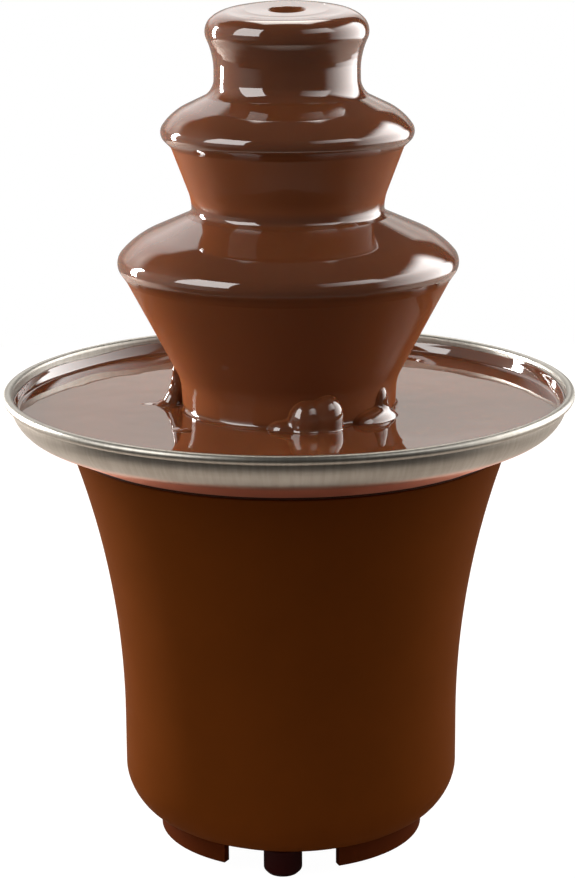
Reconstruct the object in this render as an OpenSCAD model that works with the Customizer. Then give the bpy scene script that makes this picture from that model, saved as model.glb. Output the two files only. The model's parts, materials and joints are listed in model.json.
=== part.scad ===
// Table-top chocolate fountain: flared base, stainless bowl, three-step tower and geared auger drive.
// Millimetres, +Z up, origin on the table under the middle of the stand, front towards -Y.

/* [Stand] */
// Diameter of a levelling foot
foot_d = 14.3; // [10:0.1:16]
// Height of a levelling foot below the bottom cover
foot_h = 10.5; // [8:0.1:16]
// Rounding of a foot's lower edge
foot_round = 3; // [0.5:0.1:4]
// Diameter of the circle that the feet stand on
foot_circle_d = 79; // [68:0.5:82]
// How far a foot screws out
foot_travel = 6; // [2:0.5:10]
// Diameter of a foot's stud
stud_d = 6; // [4:0.5:8]
// Outer diameter of the stand ring
ring_d = 99.4; // [92:0.2:101]
// Thickness of the stand ring's wall
ring_wall = 3.2; // [2:0.1:4]
// Depth of the stand ring below the bottom cover
ring_drop = 5.8; // [3:0.1:7]
// Half angle of each notch in the stand ring
notch_half_angle = 25.2; // [12:0.1:35]
// Thickness of the bottom cover
cover_t = 2; // [1.5:0.1:3.5]

/* [Housing] */
// Wall thickness of the housing
wall = 2.2; // [1.6:0.1:3.5]
// Diameter of the straight waist
waist_d = 125.6; // [115:0.2:140]
// Diameter at the bottom edge
bottom_d = 102.4; // [102:0.2:112]
// Height of the housing
housing_h = 142.1; // [125:0.1:165]
// Height above the bottom edge where the flare starts
flare_start = 37.3; // [30:0.1:50]
// Radius of the flare's curve
flare_radius = 315; // [260:1:450]
// Height above the bottom edge of the turn under the waist
turn_h = 7.4; // [4:0.1:12]
// Rounding of the turn under the waist
turn_round = 18.6; // [6:0.1:22]

/* [Bowl] */
// Outer diameter of the rolled rim
rim_d = 210; // [190:1:240]
// Radius of the rim's roll
roll_r = 1.7; // [1:0.1:3]
// Height from the housing's edge to the middle of the roll
bowl_h = 19; // [14:0.1:30]
// Height of the bowl's upright wall below the middle of the roll
bowl_wall_h = 9; // [5:0.1:12]
// Rounding where the upright wall meets the slope
bowl_round = 12.6; // [4:0.1:16]
// Depth of the bowl's floor below the housing's edge
floor_drop = 5; // [3:0.1:9]
// Thickness of the bowl's sheet
sheet_t = 0.8; // [0.6:0.05:1.2]
// Thickness of the gasket under the bowl
gasket_t = 0.6; // [0.4:0.1:1.5]
// Depth of the chocolate's surface below the top of the rim
pool_drop = 5.2; // [4.6:0.1:9]

/* [Lower step] */
// Diameter of the chocolate where it meets the pool
lower_foot_d = 70.9; // [64:0.1:80]
// Diameter of the lip's corner before rounding
lower_lip_d = 127.1; // [105:0.1:140]
// Height of the falling chocolate, from the pool to the crease under the lip
lower_drop = 45.3; // [35:0.1:60]
// Height from the crease to the lip's corner
lower_lip_h = 6.2; // [4:0.1:9]
// Height from the lip's corner to the brow's corner
lower_brow_h = 8.1; // [5:0.1:12]
// Height from the brow's corner to the flat top
lower_dome_h = 10; // [6:0.1:16]
// How far the crease lies inside the lip's corner
lower_undercut = 4.4; // [2:0.1:8]
// How far the brow's corner lies inside the lip's corner
lower_brow_in = 6.6; // [3:0.1:10]
// Width of the ledge around the step above
lower_ledge = 1.2; // [0.2:0.1:4]

/* [Middle step] */
// Diameter of the chocolate where it meets the step below
middle_foot_d = 65.9; // [60:0.1:70]
// Diameter of the lip's corner before rounding
middle_lip_d = 94.2; // [84:0.1:104]
// Height of the falling chocolate, from its foot to the crease under the lip
middle_drop = 23.6; // [18:0.1:32]
// Height from the crease to the lip's corner
middle_lip_h = 4.7; // [3:0.1:8]
// Height from the lip's corner to the brow's corner
middle_brow_h = 7.4; // [5:0.1:11]
// Height from the brow's corner to the flat top
middle_dome_h = 7.2; // [5:0.1:12]
// How far the crease lies inside the lip's corner
middle_undercut = 5.1; // [2:0.1:8]
// How far the brow's corner lies inside the lip's corner
middle_brow_in = 5.4; // [3:0.1:9]
// Width of the ledge around the crown's neck
middle_ledge = 0.2; // [0.1:0.1:3]

/* [Crown] */
// Diameter of the crown's corner before rounding
crown_d = 61.9; // [57:0.1:70]
// Diameter of the neck under the crown
neck_d = 52.9; // [50:0.1:56]
// Height of the neck
neck_h = 13.4; // [9:0.1:20]
// Height from the neck to the crown's corner
crown_flare_h = 9.3; // [6:0.1:14]
// Height from the crown's corner to its brow
crown_brow_h = 6.3; // [4:0.1:9]
// Height from the brow to the middle of the top
crown_dome_h = 3.7; // [2:0.1:7]
// How far the brow lies inside the crown's corner
crown_brow_in = 9.8; // [6:0.1:11]
// Radius of the dimple where the chocolate wells up
dimple_r = 7.6; // [4:0.1:11]
// Depth of the dimple
dimple_depth = 1.6; // [0.5:0.1:3]

/* [Tower and auger] */
// Thickness of the chocolate on the tower
film = 2.2; // [1.2:0.1:3]
// Wall thickness of the tower's plastic
tower_wall = 2; // [1.4:0.1:2.6]
// Bore of the tower's tube
tube_bore_d = 32; // [28:0.2:34]
// Length of the sleeve joints between the tower's pieces
sleeve_h = 18; // [10:0.5:20]
// Height of the posts that hold the tower off the bowl's floor
post_h = 4; // [2:0.1:7]
// Diameter of a post's pin
post_pin_d = 4; // [3:0.1:5]
// Gap between the auger's flight and the tube
auger_gap = 0.8; // [0.5:0.1:1.5]
// Rise of the auger's flight in one turn
auger_pitch = 24; // [18:1:36]
// Diameter of the auger's core
auger_core_d = 10; // [9:0.2:14]
// Thickness of the auger's flight
flight_t = 2; // [1.2:0.1:3]

/* [Drive] */
// Diameter of the drive shaft
shaft_d = 6; // [5:0.1:8]
// Height of the drive shaft above the bowl's floor
shaft_rise = 24; // [18:0.5:36]
// Diameter of the pin across the drive shaft
drive_pin_d = 2.4; // [1.6:0.1:3]
// Tooth module of the gears
gear_module = 0.8; // [0.7:0.05:0.9]
// Teeth of the output gear and of the idler's large gear
gear_teeth = 42; // [36:3:48]
// Teeth of the motor pinion and of the idler's small gear
pinion_teeth = 14; // [12:1:16]
// Width of the gears
gear_w = 5; // [4:0.5:7]
// Diameter of the motor
motor_d = 28; // [24:0.5:30]
// Length of the motor
motor_h = 36; // [28:0.5:44]
// Diameter of the motor shaft and of the idler's pin
spindle_d = 3; // [2:0.1:3.6]
// Length of the pillars between the bowl and the bracket
pillar_h = 25; // [20:0.5:32]

/* [Heating] */
// Outer diameter of the heater plate
heater_d = 92; // [84:1:94]
// Thickness of the heater plate
heater_t = 2.5; // [1.5:0.1:4]
// Diameter of the heating element's tube
element_d = 6.4; // [5:0.1:8]
// Diameter of the heating element's loop
element_loop_d = 72; // [66:1:76]
// Angle left open in the heating element's loop
element_gap_angle = 70; // [60:1:100]
// Diameter of the thermostat
thermostat_d = 14; // [10:0.5:18]

/* [Switches and gland] */
// Width of a switch's flange
switch_w = 24; // [20:0.2:26]
// Height of a switch's flange
switch_h = 17; // [15:0.2:20]
// Height of the switches above the bottom edge
switch_z = 47; // [40:0.5:60]
// Angle of each switch from the back
switch_angle = 18; // [14:1:40]
// How far a rocker swings
rocker_swing = 20; // [10:1:24]
// Bore of the cord gland
gland_bore_d = 6.6; // [4:0.1:8]
// Height of the cord gland above the bottom edge
gland_z = 22; // [18:0.5:26]

/* [Hidden] */
$fn = 64;

// Clearances: pieces that move apart, pieces held together, and turning fits
rest_gap = 0.3;
skin_gap = 0.05;
run_gap = 0.05;
cut = 1;
arc_steps = 8;
flare_steps = 20;

// Three-fold places around the axis
foot_angles = [-90, 30, 150];
ring_angles = [-30, 90, 210];

// Heights of the base
cover_z = foot_h + rest_gap;
base_z = cover_z + cover_t;
ring_z = cover_z - ring_drop;
flare_z = base_z + flare_start;
turn_z = base_z + turn_h;
top_z = base_z + housing_h;
waist_r = waist_d / 2;
top_r = housing_r(top_z, 0);
ring_in_r = ring_d / 2 - ring_wall;
flange_r = ring_in_r - 0.3;
foot_floor = 4;
vent = [26, 3];
vent_step = 7;

// Bowl
seat_z = top_z + gasket_t;
rim_z = seat_z + bowl_h;
rim_r = rim_d / 2;
bowl_r = rim_r - roll_r - sheet_t;
corner_z = rim_z - bowl_wall_h;
bowl_slope = atan((corner_z - seat_z) / (bowl_r - top_r));
floor_z = seat_z - floor_drop;
floor_top = floor_z + sheet_t;
floor_r = top_r - floor_drop / tan(bowl_slope);
floor_round = 6;
pool_z = rim_z + roll_r - pool_drop;

// Tower: each corner of a step is [radius, height]
lower_foot = [lower_foot_d / 2, pool_z + rest_gap];
lower_crease = [lower_lip_d / 2 - lower_undercut, lower_foot.y + lower_drop];
lower_lip = [lower_lip_d / 2, lower_crease.y + lower_lip_h];
lower_brow = [lower_lip_d / 2 - lower_brow_in, lower_lip.y + lower_brow_h];
lower_top = [middle_foot_d / 2 + lower_ledge, lower_brow.y + lower_dome_h];
lower_rounds = [27, 5.3, 0.5];
middle_foot = [middle_foot_d / 2, lower_top.y + rest_gap];
middle_crease = [middle_lip_d / 2 - middle_undercut, middle_foot.y + middle_drop];
middle_lip = [middle_lip_d / 2, middle_crease.y + middle_lip_h];
middle_brow = [middle_lip_d / 2 - middle_brow_in, middle_lip.y + middle_brow_h];
middle_top = [neck_d / 2 + middle_ledge, middle_brow.y + middle_dome_h];
middle_rounds = [18, 4, 2.3];
neck_z = middle_top.y + rest_gap;
crown_neck = [neck_d / 2, neck_z + neck_h];
crown_corner = [crown_d / 2, crown_neck.y + crown_flare_h];
crown_brow = [crown_d / 2 - crown_brow_in, crown_corner.y + crown_brow_h];
crown_top_z = crown_brow.y + crown_dome_h;
crown_rounds = [6.6, 4.5];
dimple_rounds = [4, 3];
bore_r = tube_bore_d / 2;
tube_r = bore_r + tower_wall;
sleeve_r = tube_r + rest_gap;
lower_sleeve_z = lower_top.y + sleeve_h;
middle_sleeve_z = middle_top.y + sleeve_h;
tower_z = floor_top + post_h + rest_gap;
skirt_r = lower_foot_d / 2 - film;
web_w = 9;
web_h = 3;
post_r = (tube_r + skirt_r - tower_wall) / 2;
crown_plastic_z = crown_brow.y - film;
mouth_r = bore_r - 0.2;
well_r = mouth_r - 0.4;
well_z = crown_top_z - 7;

// Auger and shaft
shaft_r = shaft_d / 2;
seal_h = 3;
shaft_top = floor_top + shaft_rise;
drive_pin_z = floor_top + 10;
hub_r = shaft_r + 4;
hub_z = floor_top + seal_h + 1;
hub_top = shaft_top + 3;
flight_z = drive_pin_z + drive_pin_d / 2 + 3;
flight_top = well_z - 3;
flight_r = bore_r - auger_gap;

// Screws
screw_r = 1.5;
screw_head_r = 2.8;
screw_head_h = 2;
boss_r = 4.5;
boss_h = 14;
pillar_hole_h = 12;
screw_spare = 2;
boss_at_r = ring_in_r - boss_r - 1.5;

// Bracket and gearbox, hung under the bowl
bracket_t = 1.6;
bracket_z = floor_z - pillar_h - bracket_t;
bracket_r = housing_r(bracket_z, wall) - 3;
bracket_top = bracket_z + bracket_t;
pillar_r = heater_d / 2 + 6;
gear_side_gap = 1;
plate_t = 2;
gear_cover_z = bracket_z - plate_t;
case_in_h = 2 * gear_w + 3 * gear_side_gap;
case_in_z = gear_cover_z - case_in_h;
case_z = case_in_z - plate_t;
low_gear_z = case_in_z + gear_side_gap;
high_gear_z = low_gear_z + gear_w + gear_side_gap;
pressure_angle = 20;
backlash = 0.3;
tip_share = 0.8;
root_share = 1;
gear_tip_r = gear_module * (gear_teeth / 2 + tip_share);
centre_distance = gear_module * (gear_teeth + pinion_teeth) / 2;
idler_at = [centre_distance, 0];
motor_angle = 120;
motor_at = idler_at + centre_distance * [cos(motor_angle), sin(motor_angle)];
case_at = idler_at / 2;
case_in_r = centre_distance / 2 + gear_tip_r + 0.8;
case_r = case_in_r + plate_t;
case_screw_r = case_r + 2;
case_screw_angles = [30, 150, 270];
spindle_r = spindle_d / 2;

// Motor
can_wall = 1.5;
motor_r = motor_d / 2;
motor_z = case_z - motor_h;
cap_h = 6;
armature_r = motor_r - can_wall - 4;
motor_screw_r = gear_module * (pinion_teeth / 2 + tip_share) + screw_head_r + 0.4;
motor_screw_turn = motor_angle - 90;
board_z = motor_z - 4;
board_t = 1.6;

// Switches and gland
switch_pivot_z = base_z + switch_z;
switch_face = housing_r(switch_pivot_z, 0) + 1.2;
switch_flange_t = 2.6;
switch_case_w = switch_w - 3.4;
switch_case_h = switch_h - 2.4;
switch_depth = 16;
rocker_w = switch_case_w - 4.2;
rocker_half_h = switch_case_h / 2 - 2.1;
rocker_pin_r = 1;
rocker_back = 2.5;
pivot_y = switch_face - 1.4;
gland_at_z = base_z + gland_z;
gland_face = housing_r(gland_at_z, 0) - 0.5;
gland_r = gland_bore_d / 2 + 1.7;
gland_flange_r = gland_r + 2.4;
gland_flange_t = 2.5;

// Colours as seen
brown = [0.24, 0.11, 0.03];
dark_brown = [0.18, 0.08, 0.03];
chocolate = [0.35, 0.17, 0.11];
steel = [0.72, 0.7, 0.67];

// Radius of the housing's wall at a height, inset from its outer face
function housing_r(z, inset) =
    waist_r + flare_radius - sqrt(pow(flare_radius + inset, 2) - pow(max(0, z - flare_z), 2));

// Outline of an open path [x, y, round] with its corners rounded, held to the sides beside them
function rounded(path) = [
    for (i = [0 : len(path) - 1])
        let (
            last = len(path) - 1,
            share_before = i == 1 ? 0.95 : 0.5,
            share_after = i == last - 1 ? 0.95 : 0.5
        )
        each (i > 0 && i < last && len(path[i]) > 2)
            ? corner_arc(path[i - 1], path[i], path[i + 1], share_before, share_after)
            : [[path[i].x, path[i].y]]
];
function unit(v) = v / norm(v);
function corner_arc(before, corner, after, share_before, share_after) =
    let (
        c = [corner.x, corner.y],
        a = [before.x, before.y] - c,
        b = [after.x, after.y] - c,
        half = acos(unit(a) * unit(b)) / 2,
        run = min(corner[2] / tan(half), share_before * norm(a), share_after * norm(b)),
        r = run * tan(half),
        middle = c + unit(unit(a) + unit(b)) * r / sin(half),
        first = c + unit(a) * run - middle,
        last = c + unit(b) * run - middle,
        start = atan2(first.y, first.x),
        sweep = (atan2(last.y, last.x) - start + 540) % 360 - 180
    )
    [for (k = [0 : arc_steps]) middle + r * direction(start + sweep * k / arc_steps)];
function direction(angle) = [cos(angle), sin(angle)];
function reversed(list) = [for (i = [len(list) - 1 : -1 : 0]) list[i]];
function after_first(list) = [for (i = [1 : len(list) - 1]) list[i]];

// Outer face of the housing from its top down, inset by a wall
function housing_path(inset, from_z) = concat(
    [
        for (k = [0 : flare_steps - 1])
            let (z = from_z + (flare_z - from_z) * k / flare_steps)
            [housing_r(z, inset), z]
    ],
    rounded([
        [waist_r - inset, flare_z],
        [waist_r - inset, turn_z + 0.6 * inset, turn_round - inset],
        [bottom_d / 2 - 0.4 * inset, base_z + inset]
    ])
);

// Under face of the bowl from the rim to the axis, inset by the sheet
function bowl_path(inset, end_r) =
    let (
        lift = inset / cos(bowl_slope),
        corner_lift = lift - inset * tan(bowl_slope),
        floor_in = (lift - inset) / tan(bowl_slope)
    )
    rounded([
        [bowl_r - inset, rim_z],
        [bowl_r - inset, corner_z + corner_lift, bowl_round - inset],
        [floor_r - floor_in, floor_z + inset, floor_round + inset],
        [end_r, floor_z + inset]
    ]);

// Roll of the rim, from the bowl's inner face round to its outer face
function rim_roll() =
    let (
        steps = 3 * arc_steps,
        middle = [rim_r - roll_r, rim_z],
        first = 360 - acos((bowl_r - sheet_t - middle.x) / roll_r),
        last = -acos((bowl_r - middle.x) / roll_r)
    )
    [for (k = [0 : steps]) middle + roll_r * direction(first + (last - first) * k / steps)];

// Face of a step from its top down, inset from the chocolate's face
function step_path(top, brow, lip, crease, foot, rounds, inset) = rounded([
    [top.x, top.y - inset],
    [brow.x - 0.5 * inset, brow.y - 0.85 * inset, rounds[0]],
    [lip.x - inset, lip.y, rounds[1]],
    [crease.x - inset, crease.y + 0.3 * inset, rounds[2]],
    [foot.x - inset, foot.y]
]);
function lower_path(inset) =
    step_path(lower_top, lower_brow, lower_lip, lower_crease, lower_foot, lower_rounds, inset);
function middle_path(inset) =
    step_path(middle_top, middle_brow, middle_lip, middle_crease, middle_foot, middle_rounds, inset);

// Face of the crown from its brow down
function crown_path(inset) = rounded([
    [crown_brow.x - 0.6 * inset, crown_brow.y - inset],
    [crown_corner.x - inset, crown_corner.y - 0.3 * inset, crown_rounds[0]],
    [crown_neck.x - inset, crown_neck.y, crown_rounds[1]],
    [crown_neck.x - inset, neck_z]
]);

// Height of the crown's chocolate over its mouth
function crown_dome_z(r) = crown_top_z - crown_dome_h * r / crown_brow.x;

// Points of one gear: involute flanks between the root and the tip
function involute(r, base) = r <= base ? 0 : tan(acos(base / r)) * 180 / PI - acos(base / r);
function half_tooth(r, teeth) =
    let (pitch_r = gear_module * teeth / 2, base = pitch_r * cos(pressure_angle))
    90 / teeth - backlash / 4 / pitch_r * 180 / PI + involute(pitch_r, base) - involute(r, base);
function gear_outline(teeth) =
    let (
        root = gear_module * (teeth / 2 - root_share),
        tip = gear_module * (teeth / 2 + tip_share),
        start = max(root, gear_module * teeth / 2 * cos(pressure_angle)),
        radii = concat(start > root ? [root] : [], [for (k = [0 : 3]) start + (tip - start) * k / 3])
    )
    [
        for (t = [0 : teeth - 1]) each concat(
            [for (r = radii) r * direction(360 * t / teeth - half_tooth(r, teeth))],
            [for (r = reversed(radii)) r * direction(360 * t / teeth + half_tooth(r, teeth))]
        )
    ];

// Places around the axis
module at_angles(angles, r) {
    for (a = angles) rotate([0, 0, a]) translate([r, 0, 0]) children();
}

// A screw with its head below z = 0 and its shank upwards
module screw(length) {
    slot = [3.2, 0.7, 1.1];
    difference() {
        union() {
            translate([0, 0, -screw_head_h]) cylinder(h = screw_head_h, r = screw_head_r);
            cylinder(h = length, r = screw_r);
        }
        for (turn = [0, 90])
            rotate([0, 0, turn])
                translate([-slot.x / 2, -slot.y / 2, -screw_head_h - cut])
                    cube([slot.x, slot.y, cut + slot.z]);
    }
}

// A round tube
module tube(h, r, bore) {
    difference() {
        cylinder(h = h, r = r);
        translate([0, 0, -cut]) cylinder(h = h + 2 * cut, r = bore);
    }
}

// A place on the back of the housing, with local +Y pointing outwards
module on_back(side) {
    rotate([0, 0, side * switch_angle]) translate([0, 0, switch_pivot_z]) children();
}

module box_around(w, y0, y1, h) {
    translate([-w / 2, y0, -h / 2]) cube([w, y1 - y0, h]);
}

// Base

module housing() {
    color(brown) difference() {
        union() {
            rotate_extrude() difference() {
                polygon(concat(
                    housing_path(0, top_z),
                    [[flange_r, base_z], [flange_r, base_z + wall]],
                    reversed(housing_path(wall, top_z))
                ));
                above_seat();
            }
            at_angles(ring_angles, boss_at_r) translate([0, 0, base_z]) cylinder(h = boss_h, r = boss_r);
            at_angles(ring_angles, boss_at_r)
                translate([0, -wall / 2, base_z]) cube([ring_d / 2 - boss_at_r - 1, wall, boss_h]);
            bracket_lugs();
        }
        at_angles(ring_angles, boss_at_r)
            translate([0, 0, base_z - cut])
                cylinder(h = boss_h - screw_spare + cut, r = screw_r + skin_gap);
        for (side = [-1, 1]) on_back(side) switch_opening();
        gland_opening();
    }
}

// Section above the housing's edge, which is cut along the bowl's slope
module above_seat() {
    rise = top_r * tan(bowl_slope);
    polygon([[0, top_z - rise], [2 * top_r, top_z + rise], [0, top_z + rise]]);
}

module bracket_lugs() {
    lug_w = 10;
    lug_h = 8;
    lug_reach = 6;
    intersection() {
        at_angles(foot_angles, bracket_r - lug_reach)
            translate([0, -lug_w / 2, bracket_top]) cube([2 * (wall + lug_reach), lug_w, lug_h]);
        rotate_extrude() polygon(concat(
            housing_path(wall / 2, top_z),
            [[0, base_z + wall / 2], [0, top_z]]
        ));
    }
}

module switch_opening() {
    flange_back = switch_face - switch_flange_t - skin_gap;
    room = 2 * skin_gap;
    box_around(switch_w + room, flange_back, switch_face + cut, switch_h + room);
    box_around(switch_case_w + room, flange_back - 2 * wall, switch_face, switch_case_h + room);
}

module gland_opening() {
    translate([0, gland_face, gland_at_z]) rotate([-90, 0, 0]) {
        cylinder(h = gland_flange_t + cut, r = gland_flange_r + skin_gap);
        translate([0, 0, -3 * wall]) cylinder(h = 4 * wall, r = gland_r + skin_gap);
    }
}

module bottom_cover() {
    sweep = 120 - 2 * notch_half_angle;
    color(dark_brown) difference() {
        union() {
            translate([0, 0, cover_z]) cylinder(h = cover_t, r = ring_in_r + 0.4);
            for (a = ring_angles)
                rotate([0, 0, a - sweep / 2])
                    rotate_extrude(angle = sweep)
                        translate([ring_in_r, ring_z]) square([ring_wall, base_z - ring_z]);
            at_angles(foot_angles, foot_circle_d / 2)
                translate([0, 0, cover_z]) cylinder(h = cover_t + stud_guide_h(), r = stud_d / 2 + 2);
        }
        at_angles(foot_angles, foot_circle_d / 2)
            translate([0, 0, cover_z - cut])
                cylinder(h = cover_t + stud_guide_h() + 2 * cut, r = stud_d / 2 + run_gap);
        at_angles(ring_angles, boss_at_r)
            translate([0, 0, cover_z - cut]) cylinder(h = cover_t + 2 * cut, r = screw_r + 0.2);
        for (row = [-2 : 2])
            translate([-vent.x / 2, vent_step * row - vent.y / 2, cover_z - cut])
                cube([vent.x, vent.y, cover_t + 2 * cut]);
    }
}

// Guide above the cover, long enough to hold a foot that is screwed right out
function stud_guide_h() = foot_travel + 6;

module cover_screws() {
    color("dimgray") at_angles(ring_angles, boss_at_r)
        translate([0, 0, cover_z]) screw(cover_t + boss_h - 2 * screw_spare);
}

module foot(angle) {
    hole_h = foot_h - foot_floor;
    color([0.1, 0.02, 0.02]) at_angles([angle], foot_circle_d / 2) difference() {
        rotate_extrude() polygon(concat(
            rounded([[0, 0], [foot_d / 2, 0, foot_round], [foot_d / 2, foot_h]]),
            [[0, foot_h]]
        ));
        translate([0, 0, foot_h - hole_h]) cylinder(h = hole_h + cut, r = stud_d / 2 + skin_gap);
    }
}
module foot_front() { foot(foot_angles[0]); }
module foot_right() { foot(foot_angles[1]); }
module foot_left() { foot(foot_angles[2]); }

module foot_stud(angle) {
    stud_z = foot_floor + skin_gap;
    color("silver") at_angles([angle], foot_circle_d / 2)
        translate([0, 0, stud_z]) cylinder(h = base_z + stud_guide_h() - stud_z, r = stud_d / 2);
}
module foot_stud_front() { foot_stud(foot_angles[0]); }
module foot_stud_right() { foot_stud(foot_angles[1]); }
module foot_stud_left() { foot_stud(foot_angles[2]); }

// Bowl and heating

module bowl() {
    hole_r = bush_r() + skin_gap;
    color(steel) rotate_extrude() polygon(concat(
        rim_roll(),
        after_first(bowl_path(0, hole_r)),
        reversed(after_first(bowl_path(sheet_t, hole_r)))
    ));
}

module bowl_gasket() {
    edge_in = 0.3;
    outer = [top_r - edge_in, -edge_in * tan(bowl_slope)];
    inner = [top_r - wall + edge_in, (edge_in - wall) * tan(bowl_slope)];
    under = top_z + skin_gap;
    over = seat_z - skin_gap;
    color("dimgray") rotate_extrude() polygon([
        [outer.x, under + outer.y],
        [outer.x, over + outer.y],
        [inner.x, over + inner.y],
        [inner.x, under + inner.y]
    ]);
}

module tower_posts() {
    color("silver") at_angles(foot_angles, post_r) translate([0, 0, floor_top]) {
        cylinder(h = post_h, r = post_pin_d / 2 + 1.5);
        cylinder(h = post_h + web_h + 2, r = post_pin_d / 2);
    }
}

module heater_plate() {
    color("lightgray") translate([0, 0, floor_z - heater_t]) tube(heater_t, heater_d / 2, heater_in_r());
}
function heater_in_r() = element_loop_d / 2 - element_d / 2 - 8;

module heating_element() {
    tube_r = element_d / 2;
    loop_r = element_loop_d / 2;
    loop_z = floor_z - heater_t - tube_r - skin_gap;
    pin_h = 8;
    pin_angle = element_gap_angle / 2 + 5;
    color("darkgray") {
        translate([0, 0, loop_z]) rotate([0, 0, 90 + element_gap_angle / 2])
            rotate_extrude(angle = 360 - element_gap_angle) translate([loop_r, 0]) circle(r = tube_r);
        at_angles([90 - pin_angle, 90 + pin_angle], loop_r)
            translate([0, 0, loop_z - tube_r - pin_h]) cylinder(h = tube_r + pin_h, r = tube_r / 2);
    }
}

module thermostat() {
    body_h = 5;
    blade = [0.8, 5, 6];
    color("ivory") translate([0, element_loop_d / 2, floor_z - heater_t]) {
        translate([0, 0, -body_h]) cylinder(h = body_h, r = thermostat_d / 2);
        for (side = [-1, 1])
            translate([side * 3 - blade.x / 2, -blade.y / 2, -body_h - blade.z]) cube(blade);
    }
}

// Bracket that hangs the gearbox under the bowl and clamps the bowl to the housing

module bracket_pillars() {
    color("silver") at_angles(foot_angles, pillar_r) translate([0, 0, bracket_top]) difference() {
        cylinder(h = pillar_h, r = 4.5, $fn = 6);
        translate([0, 0, -cut]) cylinder(h = pillar_hole_h + cut, r = screw_r + skin_gap);
    }
}

module motor_bracket() {
    wire_hole_r = 5;
    color("lightgray") translate([0, 0, bracket_z]) difference() {
        cylinder(h = bracket_t, r = bracket_r);
        translate([0, 0, -cut]) {
            cylinder(h = bracket_t + 2 * cut, r = cover_boss_r() + 0.2);
            at_angles(foot_angles, pillar_r) cylinder(h = bracket_t + 2 * cut, r = screw_r + 0.2);
            at_angles(ring_angles, pillar_r) cylinder(h = bracket_t + 2 * cut, r = wire_hole_r);
            at_case_screws() cylinder(h = bracket_t + 2 * cut, r = screw_r + skin_gap);
        }
    }
}

module bracket_screws() {
    color("dimgray") at_angles(foot_angles, pillar_r)
        translate([0, 0, bracket_z]) screw(bracket_t + pillar_hole_h - screw_spare);
}

// Shaft passage through the bowl
function bush_r() = shaft_r + 3;

module shaft_bush() {
    below = 8;
    flange_t = 1.5;
    color("darkgoldenrod") difference() {
        union() {
            translate([0, 0, floor_z - below]) cylinder(h = below + sheet_t, r = bush_r());
            translate([0, 0, floor_z - flange_t]) cylinder(h = flange_t, r = bush_r() + 3);
        }
        translate([0, 0, floor_z - below - cut])
            cylinder(h = below + sheet_t + 2 * cut, r = shaft_r + run_gap);
    }
}

module shaft_seal() {
    color([0.6, 0.25, 0.2]) translate([0, 0, floor_top]) rotate_extrude() polygon([
        [shaft_r + run_gap, 0],
        [bush_r() + 2, 0],
        [bush_r() + 2, seal_h / 2],
        [shaft_r + 1.5, seal_h],
        [shaft_r + run_gap, seal_h]
    ]);
}

// Gearbox
function cover_boss_r() = shaft_r + 2.5;

module at_case_screws() {
    translate(case_at) at_angles(case_screw_angles, case_screw_r) children();
}

module case_outline(h) {
    translate(case_at) cylinder(h = h, r = case_r);
    at_case_screws() cylinder(h = h, r = screw_r + 2.5);
}

module gearbox_cover() {
    boss_h = bracket_t + 1.5;
    color("whitesmoke") translate([0, 0, gear_cover_z]) difference() {
        union() {
            case_outline(plate_t);
            cylinder(h = plate_t + boss_h, r = cover_boss_r());
        }
        translate([0, 0, -cut]) {
            cylinder(h = plate_t + boss_h + 2 * cut, r = shaft_r + run_gap);
            translate(idler_at) cylinder(h = plate_t + cut - 0.5, r = spindle_r + skin_gap);
            at_case_screws() cylinder(h = plate_t + 2 * cut, r = screw_r + 0.2);
        }
    }
}

module gearbox_case() {
    step_h = 5;
    color("whitesmoke") difference() {
        union() {
            translate([0, 0, case_z]) case_outline(case_in_h + plate_t);
            translate([0, 0, case_z - step_h]) cylinder(h = step_h + cut, r = cover_boss_r());
        }
        translate([case_at.x, case_at.y, case_in_z]) cylinder(h = case_in_h + cut, r = case_in_r);
        translate([0, 0, case_z - step_h + 1.5]) cylinder(h = step_h + plate_t, r = shaft_r + run_gap);
        translate([idler_at.x, idler_at.y, case_z + 0.5]) cylinder(h = plate_t, r = spindle_r + skin_gap);
        translate([motor_at.x, motor_at.y, case_z - cut]) {
            cylinder(h = plate_t + 2 * cut, r = motor_nose_r() + skin_gap);
            at_motor_screws() cylinder(h = plate_t + 2 * cut, r = screw_r + skin_gap);
        }
        translate([0, 0, case_z - cut])
            at_case_screws() cylinder(h = case_in_h + plate_t + 2 * cut, r = screw_r + 0.2);
    }
}

module gearbox_screws() {
    color("dimgray") translate([0, 0, case_z])
        at_case_screws() screw(case_in_h + 2 * plate_t + bracket_t + 1);
}

module idler_pin() {
    color("silver") translate([idler_at.x, idler_at.y, case_z + 0.5 + skin_gap])
        cylinder(h = case_in_h + 2 * plate_t - 1 - 2 * skin_gap, r = spindle_r);
}

// The idler's small gear has a gap facing the output gear
module idler_gear() {
    color("ivory") translate(idler_at) difference() {
        union() {
            translate([0, 0, low_gear_z]) rotate([0, 0, motor_angle])
                linear_extrude(gear_w) polygon(gear_outline(gear_teeth));
            translate([0, 0, low_gear_z + gear_w - 0.01]) rotate([0, 0, 180 + 180 / pinion_teeth])
                linear_extrude(gear_side_gap + gear_w) polygon(gear_outline(pinion_teeth));
        }
        translate([0, 0, low_gear_z - cut])
            cylinder(h = 2 * gear_w + gear_side_gap + 2 * cut, r = spindle_r + run_gap);
    }
}

module output_gear() {
    color("ivory") translate([0, 0, high_gear_z]) difference() {
        linear_extrude(gear_w) polygon(gear_outline(gear_teeth));
        translate([0, 0, -cut]) cylinder(h = gear_w + 2 * cut, r = shaft_r + skin_gap);
    }
}

module drive_shaft() {
    shaft_z = case_z - 3;
    color("silver") difference() {
        translate([0, 0, shaft_z]) cylinder(h = shaft_top - shaft_z, r = shaft_r);
        translate([0, 0, drive_pin_z]) rotate([0, 90, 0])
            cylinder(h = 2 * hub_r, r = drive_pin_d / 2 + skin_gap, center = true);
    }
}

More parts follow.
